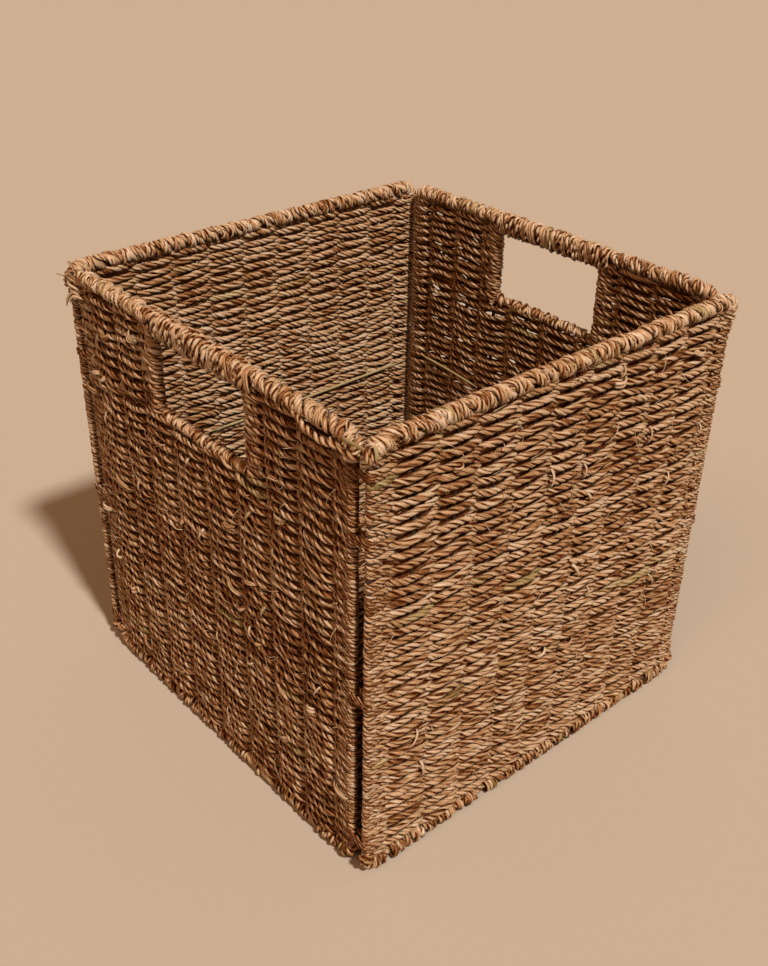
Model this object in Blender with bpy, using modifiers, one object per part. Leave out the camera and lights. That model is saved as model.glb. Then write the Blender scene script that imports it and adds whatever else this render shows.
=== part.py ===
"""Collapsible square storage basket of twisted seagrass cord on steel wire frames.

Five woven panels: a plain front and back wall, a left and right wall with a cut-out handle, and a base flap.
Each panel is a welded wire frame with its woven sheet, its bound edges and, on the handle walls, a bound
grip and a bound sill. Corner lashings tie the walls together, and hinge lashings tie the base flap to the
front wall's foot, so the flap folds up flat against that wall.

Metres, +Z up. The origin is at the middle of the footprint, on the surface that the basket stands on.
The plain walls run along X and the handle walls along Y.
"""

import math

import bmesh
import bpy
from mathutils import Matrix, Vector

# Driving dimensions: outside size of the basket
WIDTH = 0.320
DEPTH = 0.325
HEIGHT = 0.320

# Wire frames
ROD_R = 0.0020
STAKE_R = 0.0015
STAKES = 9
CORNER_R = 0.008
CORNER_SPACING = 0.0132
GAP = 0.0003

# Bound edges and woven sheets
RIM_R = 0.0060
FOOT_R = 0.0063
WEAVE_T = 0.0090
WEAVE_ROUND = 0.0044
EDGE_COVER = 0.0045
CORNER_COVER = 0.0015
BOUND_CORNER = CORNER_R + CORNER_COVER
BASE_BINDING_R = 0.0044

# Places of the walls' frames
PLAIN_Y = DEPTH / 2 - RIM_R
HANDLE_X = WIDTH / 2 - RIM_R
PLAIN_HALF = WIDTH / 2 - RIM_R
HANDLE_HALF = PLAIN_Y - CORNER_SPACING
ROD_LOW = RIM_R
ROD_HIGH = HEIGHT - RIM_R

# Handle opening: half width and heights of the clear hole, and the wires round it
HOLE_HALF = 0.048
HOLE_LOW = 0.2535
HOLE_HIGH = 0.302
HOLE_STAKE = 0.0525
SILL_R = 0.0045
SILL_Z = HOLE_LOW - SILL_R
GRIP_WIRE_Z = 0.3065
GRIP_HALF = 0.0565
GRIP_T = 0.013
GRIP_ROUND = 0.005

# Base flap, from its hinge rod to the rod at its free edge, which rests on the back foot
BASE_HALF = 0.1425
HINGE_Y = -0.145
HINGE_Z = 0.0113
BASE_LENGTH = 0.2918

# Lashings
LASHING_T = 0.0020
CORNER_LASHING_H = 0.012
CORNER_LASHING_Z = (0.026, 0.143, 0.254, 0.296)
HINGE_LASHING_W = 0.008
HINGE_LASHING_X = (-0.131, -0.0445, 0.0445, 0.131)
WAIST_R = 0.0034
WAIST_W = 0.0088
HINGE_NOTCH_TOP = 0.0145
SLOT_ROOM = 0.0008

# How finely round things are drawn
ROD_ROUNDNESS = 1
BINDING_ROUNDNESS = 3
WIRE_SIDES = 6
ARC_STEPS = 3
BEVEL_STEPS = 3
BELT_STEPS = 4

# How far a cutter runs past what it cuts, a waist's sudden step, and points that count as one
BEYOND = 0.02
WAIST_STEP = 0.0001
SAME_POINT = 0.00001


def remove_everything():
    """Empty the scene of objects."""
    for obj in list(bpy.data.objects):
        bpy.data.objects.remove(obj, do_unlink=True)


def new_collection(name):
    """A collection linked to the scene."""
    collection = bpy.data.collections.new(name)
    bpy.context.scene.collection.children.link(collection)
    return collection


def new_material(name, colour, roughness, metallic):
    """A Principled material."""
    material = bpy.data.materials.new(name)
    material.use_nodes = True
    shader = material.node_tree.nodes["Principled BSDF"]
    shader.inputs["Base Color"].default_value = (*colour, 1.0)
    shader.inputs["Roughness"].default_value = roughness
    shader.inputs["Metallic"].default_value = metallic
    return material


remove_everything()
PARTS = new_collection("seagrass_storage_basket")
CUTTERS = new_collection("cutters")
STEEL = new_material("frame_wire", (0.20, 0.18, 0.16), 0.45, 1.0)
SEAGRASS = new_material("seagrass_weave", (0.42, 0.26, 0.12), 0.75, 0.0)
BINDING = new_material("seagrass_binding", (0.52, 0.34, 0.16), 0.70, 0.0)
LASHING = new_material("seagrass_lashing", (0.46, 0.36, 0.18), 0.72, 0.0)


def add_part(name, mesh, material, parent):
    """A sub-part of the basket under its panel's empty."""
    obj = bpy.data.objects.new(name, mesh)
    obj.data.materials.clear()
    obj.data.materials.append(material)
    obj.parent = parent
    PARTS.objects.link(obj)
    return obj


def add_cutter(name, mesh, parent):
    """A helper solid that only cuts or joins."""
    obj = bpy.data.objects.new(name, mesh)
    obj.parent = parent
    obj.hide_render = True
    obj.display_type = "WIRE"
    CUTTERS.objects.link(obj)
    return obj


def boolean(obj, other, operation):
    """Join or cut obj with another solid."""
    modifier = obj.modifiers.new(f"{operation.lower()}_{other.name}", "BOOLEAN")
    modifier.object = other
    modifier.operation = operation
    modifier.solver = "EXACT"


def mesh_from_curve(curve):
    """The closed mesh of a bevelled or extruded curve, with its caps welded."""
    holder = bpy.data.objects.new("curve_holder", curve)
    bpy.context.scene.collection.objects.link(holder)
    graph = bpy.context.evaluated_depsgraph_get()
    mesh = bpy.data.meshes.new_from_object(holder.evaluated_get(graph))
    bpy.data.objects.remove(holder, do_unlink=True)
    shape = bmesh.new()
    shape.from_mesh(mesh)
    bmesh.ops.remove_doubles(shape, verts=shape.verts, dist=SAME_POINT)
    bmesh.ops.recalc_face_normals(shape, faces=shape.faces)
    shape.to_mesh(mesh)
    shape.free()
    return mesh


def tube_mesh(points, radius, resolution, cyclic=False, scales=None):
    """A round tube along points in a panel's own plane: X along it, Z up it."""
    curve = bpy.data.curves.new("tube", "CURVE")
    curve.dimensions = "3D"
    curve.bevel_depth = radius
    curve.bevel_resolution = resolution
    curve.use_fill_caps = not cyclic
    spline = curve.splines.new("POLY")
    spline.points.add(len(points) - 1)
    for index, (x, z) in enumerate(points):
        spline.points[index].co = (x, 0, z, 1)
        spline.points[index].radius = scales[index] if scales else 1
    spline.use_cyclic_u = cyclic
    return mesh_from_curve(curve)


def arc(centre, radius, start, end, steps=ARC_STEPS):
    """Points of an arc; the angles are in degrees from the first axis."""
    points = []
    for step in range(steps + 1):
        angle = math.radians(start + (end - start) * step / steps)
        points.append((centre[0] + radius * math.cos(angle), centre[1] + radius * math.sin(angle)))
    return points


def corner_arc(half, height, side, inward):
    """The rounded corner of a frame, from its side rod to its top or bottom rod."""
    centre = (side * (half - CORNER_R), height + inward * CORNER_R)
    start = 0 if side > 0 else 180
    turn = 90 * (-inward) * side
    return arc(centre, CORNER_R, start, start + turn)


def frame_outline(half, low, high):
    """The closed centre line of a frame's outer rod."""
    return (
        corner_arc(half, high, 1, -1)
        + corner_arc(half, high, -1, -1)[::-1]
        + corner_arc(half, low, -1, 1)
        + corner_arc(half, low, 1, 1)[::-1]
    )


def boxes_mesh(boxes):
    """Separate boxes in one mesh, each given by its lowest and highest corner."""
    shape = bmesh.new()
    for lowest, highest in boxes:
        centre = (Vector(lowest) + Vector(highest)) / 2
        size = Vector(highest) - Vector(lowest)
        place = Matrix.Translation(centre) @ Matrix.Diagonal((*size, 1))
        bmesh.ops.create_cube(shape, size=1, matrix=place)
    mesh = bpy.data.meshes.new("boxes")
    shape.to_mesh(mesh)
    shape.free()
    return mesh


def wires_mesh(wires, radius):
    """Separate straight wires in one mesh, each from one point of the panel's plane to another."""
    shape = bmesh.new()
    for (x0, z0), (x1, z1) in wires:
        along = Vector((x1 - x0, 0, z1 - z0))
        turn = Vector((0, 0, 1)).rotation_difference(along).to_matrix().to_4x4()
        place = Matrix.Translation(((x0 + x1) / 2, 0, (z0 + z1) / 2)) @ turn
        bmesh.ops.create_cone(
            shape,
            cap_ends=True,
            segments=WIRE_SIDES,
            radius1=radius,
            radius2=radius,
            depth=along.length,
            matrix=place,
        )
    mesh = bpy.data.meshes.new("wires")
    shape.to_mesh(mesh)
    shape.free()
    return mesh


def wire_frame(name, panel, half, low, high, upright, level, extra=0):
    """A panel's welded frame: an outer rod, upright stakes and level wires.

    With extra above 0 it is the cutter that makes room for that frame.
    """
    add = add_cutter if extra else lambda n, m, p: add_part(n, m, STEEL, p)
    outline = frame_outline(half, low, high)
    frame = add(name, tube_mesh(outline, ROD_R + extra, ROD_ROUNDNESS, cyclic=True), panel)
    stakes = add_cutter(f"{name}_stakes", wires_mesh(upright, STAKE_R + extra), panel)
    boolean(frame, stakes, "UNION")
    if level:
        wires = add_cutter(f"{name}_wires", wires_mesh(level, STAKE_R + extra), panel)
        boolean(frame, wires, "UNION")
    return frame


def woven_sheet(name, panel, half, low, high, room):
    """A panel's woven sheet: a slab with rounded side edges and tunnels for the frame's wires."""
    mesh = boxes_mesh([((-half, -WEAVE_T / 2, low), (half, WEAVE_T / 2, high))])
    shape = bmesh.new()
    shape.from_mesh(mesh)
    upright = [edge for edge in shape.edges if abs(edge.verts[0].co.z - edge.verts[1].co.z) > GAP]
    rounding = {"offset": WEAVE_ROUND, "segments": BEVEL_STEPS, "profile": 0.5}
    bmesh.ops.bevel(shape, geom=upright, affect="EDGES", **rounding)
    shape.to_mesh(mesh)
    shape.free()
    sheet = add_part(name, mesh, SEAGRASS, panel)
    boolean(sheet, room, "DIFFERENCE")
    return sheet


def cut_boxes(obj, name, panel, boxes):
    """Cut separate boxes out of obj."""
    boolean(obj, add_cutter(name, boxes_mesh(boxes), panel), "DIFFERENCE")


def binding(name, panel, points, radius, room, scales=None):
    """A bound edge: seagrass wrapped round a frame's rod, open on the side where the stakes come in."""
    bound = add_part(name, tube_mesh(points, radius, BINDING_ROUNDNESS, scales=scales), BINDING, panel)
    boolean(bound, room, "DIFFERENCE")
    return bound


def edge_room(name, panel, half, height, inward):
    """The cutter that clears a bound edge: the frame's rod and a slit for its stakes."""
    line = [(half, height + inward * 2 * BOUND_CORNER)] + corner_arc(half, height, 1, inward)
    line += corner_arc(half, height, -1, inward)[::-1] + [(-half, height + inward * 2 * BOUND_CORNER)]
    rod = add_cutter(f"{name}_rod", tube_mesh(line, ROD_R + GAP, ROD_ROUNDNESS + 1), panel)
    slit = STAKE_R + GAP
    ends = sorted((height, height + inward * BEYOND))
    box = ((CORNER_R - half, -slit, ends[0]), (half - CORNER_R, slit, ends[1]))
    boolean(rod, add_cutter(f"{name}_slit", boxes_mesh([box]), panel), "UNION")
    return rod


def mirrored(lowest, highest):
    """A box of a panel and its twin on the other side of the panel's middle."""
    twin = ((-highest[0], lowest[1], lowest[2]), (-lowest[0], highest[1], highest[2]))
    return [(lowest, highest), twin]


def lashing_notches(half):
    """Room in both side edges of a wall's sheet for its corner lashings."""
    inner = half - ROD_R - LASHING_T - 2 * GAP
    reach = CORNER_LASHING_H / 2 + GAP
    boxes = []
    for z in CORNER_LASHING_Z:
        boxes += mirrored((inner, -BEYOND, z - reach), (half + BEYOND, BEYOND, z + reach))
    return boxes


def corner_notch(half, height, inward):
    """Room in a sheet's two corners for a bound edge that turns down the side rods."""
    ends = sorted((height + inward * (BOUND_CORNER + GAP), height - inward * BEYOND))
    inner = half - CORNER_R - GAP
    return mirrored((inner, -BEYOND, ends[0]), (half + BEYOND, BEYOND, ends[1]))


def new_panel(name, location, rotation):
    """The empty that carries a panel's pieces."""
    empty = bpy.data.objects.new(name, None)
    empty.location = location
    empty.rotation_euler = rotation
    bpy.context.scene.collection.objects.link(empty)
    return empty


def spread(half, count):
    """Even places of the stakes between two side rods."""
    return [half * (2 * (index + 1) / (count + 1) - 1) for index in range(count)]


def bound_corner(half, height, side, inward):
    """Centre line of a bound edge round one corner, ending square across the side rod."""
    return [(side * half, height + inward * BOUND_CORNER)] + corner_arc(half, height, side, inward)


def whole_edge(half, height, inward):
    """Centre line of a bound edge over the full width, round both corners."""
    return bound_corner(half, height, 1, inward) + bound_corner(half, height, -1, inward)[::-1]


def waisted(points):
    """The front foot's line and thickness, drawn in where the hinge lashings pass round it."""
    middle = len(points) // 2
    line = points[:middle]
    scales = [1] * middle
    waist = WAIST_R / FOOT_R
    for x in sorted(HINGE_LASHING_X, reverse=True):
        for offset, scale in (
            (WAIST_W / 2 + WAIST_STEP, 1),
            (WAIST_W / 2, waist),
            (-WAIST_W / 2, waist),
            (-WAIST_W / 2 - WAIST_STEP, 1),
        ):
            line.append((x + offset, ROD_LOW))
            scales.append(scale)
    return line + points[middle:], scales + [1] * middle


def wall_sheet(name, panel, half, room, is_hinged=False):
    """A wall's woven sheet, from its foot to its rim, with room for both and for the lashings."""
    low = ROD_LOW + FOOT_R + GAP
    high = ROD_HIGH - RIM_R - GAP
    sheet = woven_sheet(f"{name}_weave", panel, half + EDGE_COVER, low, high, room)
    notches = lashing_notches(half) + corner_notch(half, ROD_LOW, 1) + corner_notch(half, ROD_HIGH, -1)
    if is_hinged:
        reach = WAIST_W / 2
        notches += [((x - reach, -BEYOND, 0), (x + reach, BEYOND, HINGE_NOTCH_TOP)) for x in HINGE_LASHING_X]
    cut_boxes(sheet, f"{name}_notches", panel, notches)
    return sheet


def add_foot(name, panel, half, has_waists=False):
    """The bound bottom edge of a wall, flat where it stands."""
    room = edge_room(f"{name}_room", panel, half, ROD_LOW, 1)
    line = whole_edge(half, ROD_LOW, 1)
    scales = None
    if has_waists:
        line, scales = waisted(line)
    foot = binding(name, panel, line, FOOT_R, room, scales)
    below = ((-BEYOND - half, -BEYOND, -BEYOND), (half + BEYOND, BEYOND, 0))
    cut_boxes(foot, f"{name}_floor", panel, [below])
    return foot


def plain_wall(name, location, rotation, is_hinged):
    """A wall with no handle."""
    panel = new_panel(f"{name}_wall", location, rotation)
    upright = [((x, ROD_LOW), (x, ROD_HIGH)) for x in spread(PLAIN_HALF, STAKES)]
    wire_frame(f"{name}_frame", panel, PLAIN_HALF, ROD_LOW, ROD_HIGH, upright, [])
    room = wire_frame(f"{name}_room", panel, PLAIN_HALF, ROD_LOW, ROD_HIGH, upright, [], GAP)
    wall_sheet(name, panel, PLAIN_HALF, room, is_hinged)
    top_room = edge_room(f"{name}_top", panel, PLAIN_HALF, ROD_HIGH, -1)
    binding(f"{name}_rim", panel, whole_edge(PLAIN_HALF, ROD_HIGH, -1), RIM_R, top_room)
    add_foot(f"{name}_foot", panel, PLAIN_HALF, is_hinged)


def handle_uprights():
    """Stakes of a handle wall: full height beside the hole, short ones under it."""
    outer = [HOLE_STAKE, (2 * HOLE_STAKE + HANDLE_HALF) / 3, (HOLE_STAKE + 2 * HANDLE_HALF) / 3]
    full = [((side * x, ROD_LOW), (side * x, ROD_HIGH)) for x in outer for side in (-1, 1)]
    short = [((side * HOLE_STAKE / 3, ROD_LOW), (side * HOLE_STAKE / 3, SILL_Z)) for side in (-1, 1)]
    return full + short


def grip_mesh():
    """The bound grip: a long block, rounded later."""
    return boxes_mesh([((-GRIP_HALF, -GRIP_T / 2, HOLE_HIGH), (GRIP_HALF, GRIP_T / 2, HEIGHT))])


def handle_wall(name, location, rotation, near, far):
    """A wall with a cut-out handle; near and far name its two stretches of rim, at +X and -X of the panel."""
    panel = new_panel(f"{name}_wall", location, rotation)
    upright = handle_uprights()
    level = [((-HOLE_STAKE, z), (HOLE_STAKE, z)) for z in (SILL_Z, GRIP_WIRE_Z)]
    wire_frame(f"{name}_frame", panel, HANDLE_HALF, ROD_LOW, ROD_HIGH, upright, level)
    room = wire_frame(f"{name}_room", panel, HANDLE_HALF, ROD_LOW, ROD_HIGH, upright, level, GAP)

    sheet = wall_sheet(name, panel, HANDLE_HALF, room)
    sill_room = SILL_Z - SILL_R - GAP
    grip_room = HOLE_HIGH - GAP
    hole = ((-HOLE_HALF, -BEYOND, sill_room), (HOLE_HALF, BEYOND, HEIGHT))
    recess = ((-GRIP_HALF - GAP, -BEYOND, grip_room), (GRIP_HALF + GAP, BEYOND, HEIGHT + BEYOND))
    cut_boxes(sheet, f"{name}_hole", panel, [hole])
    cut_boxes(sheet, f"{name}_grip_recess", panel, [recess])

    top_room = edge_room(f"{name}_top", panel, HANDLE_HALF, ROD_HIGH, -1)
    for side, place in ((1, near), (-1, far)):
        line = bound_corner(HANDLE_HALF, ROD_HIGH, side, -1) + [(side * (GRIP_HALF + GAP), ROD_HIGH)]
        binding(f"{name}_rim_{place}", panel, line, RIM_R, top_room)
    sill_half = HOLE_HALF - GAP
    binding(f"{name}_sill", panel, [(-sill_half, SILL_Z), (sill_half, SILL_Z)], SILL_R, room)
    add_foot(f"{name}_foot", panel, HANDLE_HALF)

    grip = add_part(f"{name}_grip", grip_mesh(), BINDING, panel)
    bevel = grip.modifiers.new("rounded_grip", "BEVEL")
    bevel.width = GRIP_ROUND
    bevel.segments = BEVEL_STEPS
    bevel.limit_method = "NONE"
    boolean(grip, room, "DIFFERENCE")


def base_flap():
    """The woven base, carried by an empty on its hinge axis and laid flat."""
    panel = new_panel("base_hinge", (0, HINGE_Y, HINGE_Z), (math.radians(-90), 0, 0))
    upright = [((x, 0), (x, BASE_LENGTH)) for x in spread(BASE_HALF, STAKES)]
    wire_frame("base_frame", panel, BASE_HALF, 0, BASE_LENGTH, upright, [])
    room = wire_frame("base_room", panel, BASE_HALF, 0, BASE_LENGTH, upright, [], GAP)
    high = BASE_LENGTH - BASE_BINDING_R - GAP
    sheet = woven_sheet("base_weave", panel, BASE_HALF + EDGE_COVER, -EDGE_COVER, high, room)
    reach = ROD_R + LASHING_T + 2 * GAP
    half_slot = HINGE_LASHING_W / 2 + SLOT_ROOM
    slots = [((x - half_slot, -BEYOND, -BEYOND), (x + half_slot, BEYOND, reach)) for x in HINGE_LASHING_X]
    cut_boxes(sheet, "base_hinge_slots", panel, slots + corner_notch(BASE_HALF, BASE_LENGTH, -1))
    edge = edge_room("base_edge", panel, BASE_HALF, BASE_LENGTH, -1)
    binding("base_binding", panel, whole_edge(BASE_HALF, BASE_LENGTH, -1), BASE_BINDING_R, edge)


def belt_points(distance, radius_a, radius_b):
    """A belt round two circles, the first at the origin and the second at +X."""
    lean = math.degrees(math.asin((radius_a - radius_b) / distance))
    top = 90 - lean
    first = arc((0, 0), radius_a, top, 360 - top, BELT_STEPS)
    second = arc((distance, 0), radius_b, -top, top, BELT_STEPS)
    return first + second


def lashing(name, start, end, radius_a, radius_b, width, parent=None):
    """A lashing round two rods: a belt from the rod at start to the rod at end, as wide as its turns."""
    towards = Vector(end) - Vector(start)
    curve = bpy.data.curves.new(name, "CURVE")
    curve.dimensions = "2D"
    curve.fill_mode = "BOTH"
    curve.extrude = width / 2
    for inset in (0, LASHING_T):
        spline = curve.splines.new("POLY")
        points = belt_points(towards.length, radius_a - inset, radius_b - inset)
        spline.points.add(len(points) - 1)
        for index, (x, y) in enumerate(points):
            spline.points[index].co = (x, y, 0, 1)
        spline.use_cyclic_u = True
    obj = add_part(name, mesh_from_curve(curve), LASHING, parent)
    axis = Vector((1, 0, 0)) if abs(towards.z) > 0 else Vector((0, 0, 1))
    along = towards.normalized()
    across = axis.cross(along)
    obj.matrix_world = Matrix.Translation(start) @ Matrix((along, across, axis)).transposed().to_4x4()
    return obj


def corner_lashings():
    """Four lashings up each corner, each round the side rods of the two walls that meet there."""
    radius = ROD_R + GAP + LASHING_T
    for side_x, across in ((-1, "left"), (1, "right")):
        for side_y, along in ((-1, "front"), (1, "back")):
            for number, z in enumerate(CORNER_LASHING_Z, 1):
                start = (side_x * HANDLE_X, side_y * PLAIN_Y, z)
                end = (side_x * HANDLE_X, side_y * HANDLE_HALF, z)
                name = f"corner_lashing_{along}_{across}_{number}"
                lashing(name, start, end, radius, radius, CORNER_LASHING_H)


def hinge_lashings():
    """Lashings round the front foot and the base's hinge rod."""
    for number, x in enumerate(HINGE_LASHING_X, 1):
        start = (x, -PLAIN_Y, ROD_LOW)
        end = (x, HINGE_Y, HINGE_Z)
        waist_outside = WAIST_R + 2 * GAP + LASHING_T
        rod_outside = ROD_R + GAP + LASHING_T
        lashing(f"hinge_lashing_{number}", start, end, waist_outside, rod_outside, HINGE_LASHING_W)


plain_wall("front", (0, -PLAIN_Y, 0), (0, 0, 0), True)
plain_wall("back", (0, PLAIN_Y, 0), (0, 0, 0), False)
handle_wall("left", (-HANDLE_X, 0, 0), (0, 0, math.radians(90)), "back", "front")
handle_wall("right", (HANDLE_X, 0, 0), (0, 0, math.radians(90)), "back", "front")
base_flap()
corner_lashings()
hinge_lashings()
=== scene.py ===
"""Looks of the seagrass storage basket: each cord, wrap and lashing as real geometry round the frame."""

import math

import bpy
import numpy as np
from mathutils import Matrix, Vector


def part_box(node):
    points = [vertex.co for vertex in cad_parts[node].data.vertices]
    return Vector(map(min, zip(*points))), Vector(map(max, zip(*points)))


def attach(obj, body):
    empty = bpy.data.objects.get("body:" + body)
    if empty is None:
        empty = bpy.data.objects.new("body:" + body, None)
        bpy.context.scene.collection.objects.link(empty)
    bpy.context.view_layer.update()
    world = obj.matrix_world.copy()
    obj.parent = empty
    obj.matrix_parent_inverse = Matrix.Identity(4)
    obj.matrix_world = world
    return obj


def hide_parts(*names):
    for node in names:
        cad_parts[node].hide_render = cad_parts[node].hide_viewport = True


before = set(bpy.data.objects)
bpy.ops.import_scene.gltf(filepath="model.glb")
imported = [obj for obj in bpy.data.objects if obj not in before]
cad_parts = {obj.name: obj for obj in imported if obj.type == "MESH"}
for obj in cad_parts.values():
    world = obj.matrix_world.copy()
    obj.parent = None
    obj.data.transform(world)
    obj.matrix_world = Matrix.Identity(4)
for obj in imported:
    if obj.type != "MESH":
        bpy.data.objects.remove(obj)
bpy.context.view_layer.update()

TAU = 2 * math.pi

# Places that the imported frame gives
FRONT_LOW, FRONT_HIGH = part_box("front_frame")
LEFT_LOW, LEFT_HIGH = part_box("left_frame")
ROD_R = (FRONT_HIGH.y - FRONT_LOW.y) / 2
PLAIN_Y = -(FRONT_LOW.y + FRONT_HIGH.y) / 2
PLAIN_HALF = FRONT_HIGH.x - ROD_R
HANDLE_X = -(LEFT_LOW.x + LEFT_HIGH.x) / 2
HANDLE_HALF = LEFT_HIGH.y - ROD_R
ROD_LOW = FRONT_LOW.z + ROD_R
ROD_HIGH = FRONT_HIGH.z - ROD_R
WEAVE_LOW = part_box("front_weave")[0].z
WEAVE_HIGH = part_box("front_weave")[1].z
SILL_LOW, SILL_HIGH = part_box("left_sill")
SILL_Z = (SILL_LOW.z + SILL_HIGH.z) / 2
GRIP_LOW, GRIP_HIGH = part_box("left_grip")
GRIP_HALF = GRIP_HIGH.y
BASE_LOW, BASE_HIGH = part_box("base_frame")
BASE_HALF = BASE_HIGH.x - ROD_R
HINGE_Y = BASE_LOW.y + ROD_R
HINGE_Z = (BASE_LOW.z + BASE_HIGH.z) / 2
BASE_LENGTH = BASE_HIGH.y - BASE_LOW.y - 2 * ROD_R
HINGE_LASHING_X = sorted(sum(p.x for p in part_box(f"hinge_lashing_{n}")) / 2 for n in range(1, 5))
CORNER_LASHING_Z = sorted(
    sum(p.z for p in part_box(f"corner_lashing_front_left_{n}")) / 2 for n in range(1, 5)
)

# Sizes that no box shows: the rods' corner radius, a hand hole's stakes, and the sill between them
CORNER_R = 0.008
HOLE_STAKE = 0.0525
SILL_HALF = 0.0475

# Cord of the woven sheets
ROW_PITCH = 0.00385         # between rows, in the front and base sheets
HANDLE_PITCH = 0.0034       # in the left and right sheets
BACK_PITCH = 0.0033
PLY_R = 0.00121             # each of the cord's three plies
PLY_OFFSET = 0.00122        # from the cord's middle to a ply's
TWIST = 0.0190              # length of one turn
FLOAT_OUT = 0.0028          # how far a row stands off the sheet's middle at a stake
ROD_WRAP = 0.0017           # and at the rod that it turns round
HOLE_WRAP = 0.0029
STEP = 0.0018               # between a row's points
STRIPS = 4                  # pieces that a sheet is made of
WALL_ROWS = (WEAVE_LOW + 0.0006, WEAVE_HIGH - 0.0004)   # heights of the first and last rows
BASE_ROWS = (0.0072, BASE_LENGTH - 0.0062)
SETTLE_ZONE = 0.02          # near those, where rows lie straight
END_ZONE = 0.016            # beside the rods, where rows are pulled tight
END_TIGHT = 0.20
END_TWIST = 0.35
END_FLAT = 0.65
TOP_ZONE = 0.262            # above this height the back sheet has more gaps

# The leaf behind each row, coloured as painted shade for the gaps between rows, with a notch wherever light
# shows through the sheet
BACKING_THICK = 0.0005
BACKING_WIDE = 0.66 * ROW_PITCH
BACKING_STEP = 0.003
BACKING_INSET = 0.004       # from a row's ends
NOTCH = 0.0038
NOTCH_DEPTH = 0.85          # as a share of the width
FULL_ROW = 0.31             # length of row that a number of gaps is meant for

# Stakes that the rows are woven over, in each panel's s
WALL_STAKES = [PLAIN_HALF * (i - 5) / 5 for i in range(11)]
HANDLE_STAKES = [HOLE_STAKE + (HANDLE_HALF - HOLE_STAKE) * i / 3 for i in range(4)]
BASE_STAKES = [BASE_HALF * (i - 5) / 5 for i in range(11)]
UNDER_HOLE = [-HOLE_STAKE / 3, HOLE_STAKE / 3]

# Bound edges: the cord along the rod, the turns' own radius, and what is left clear for the hinge lashings
CORE_R = 0.0034
RIM_TURN = 0.0039
FOOT_TURN = 0.0040
SILL_TURN = 0.0028
BASE_TURN = 0.0026
HINGE_TURN = 0.0024
BUNDLE = (0.0017, 0.0009, 0.00105)      # a loose bundle's half width, half height and strand radius
WAIST_HALF = 0.0046                     # half the length that a hinge lashing takes up
WAIST_CORE = 0.62                       # how thin the cord is there, as a share
CORNER_DROP = 0.0110                    # how far an edge's binding runs on round its corner
LASHING_TURNS = 3


def unit(v):
    """Vectors of length one."""
    return v / np.maximum(np.linalg.norm(v, axis=-1, keepdims=True), 1e-12)


def lengths(path):
    """Distance along a path at each of its points."""
    steps = np.linalg.norm(np.diff(path, axis=0), axis=1)
    return np.concatenate([[0.0], np.cumsum(steps)])


def wander(x, rng, wavelength, size, count=4):
    """A smooth random wave over x."""
    total = np.zeros_like(x)
    for _ in range(count):
        total += np.sin(TAU * x / (wavelength * rng.uniform(0.6, 1.7)) + rng.uniform(0, TAU))
    return total * size / math.sqrt(count)


def line_between(start, end, count=14, bow=(0.0, 0.0, 0.0)):
    """Points from start to end that bow sideways in the middle."""
    u = np.linspace(0, 1, count)[:, None]
    start, end, bow = (np.asarray(v, float) for v in (start, end, bow))
    return start + (end - start) * u + bow * np.sin(math.pi * u)


def field(rng, wavelength, size, count=7):
    """A smooth random height over a panel, shared by all its rows."""
    waves = []
    for _ in range(count):
        angle = rng.uniform(0, TAU)
        k = TAU / (wavelength * rng.uniform(0.6, 1.8))
        waves.append((k * math.cos(angle), k * math.sin(angle), rng.uniform(0, TAU)))

    def height(s, z):
        total = 0.0
        for a, b, c in waves:
            total = total + np.sin(a * s + b * z + c)
        return total * size / math.sqrt(count)

    return height


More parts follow.
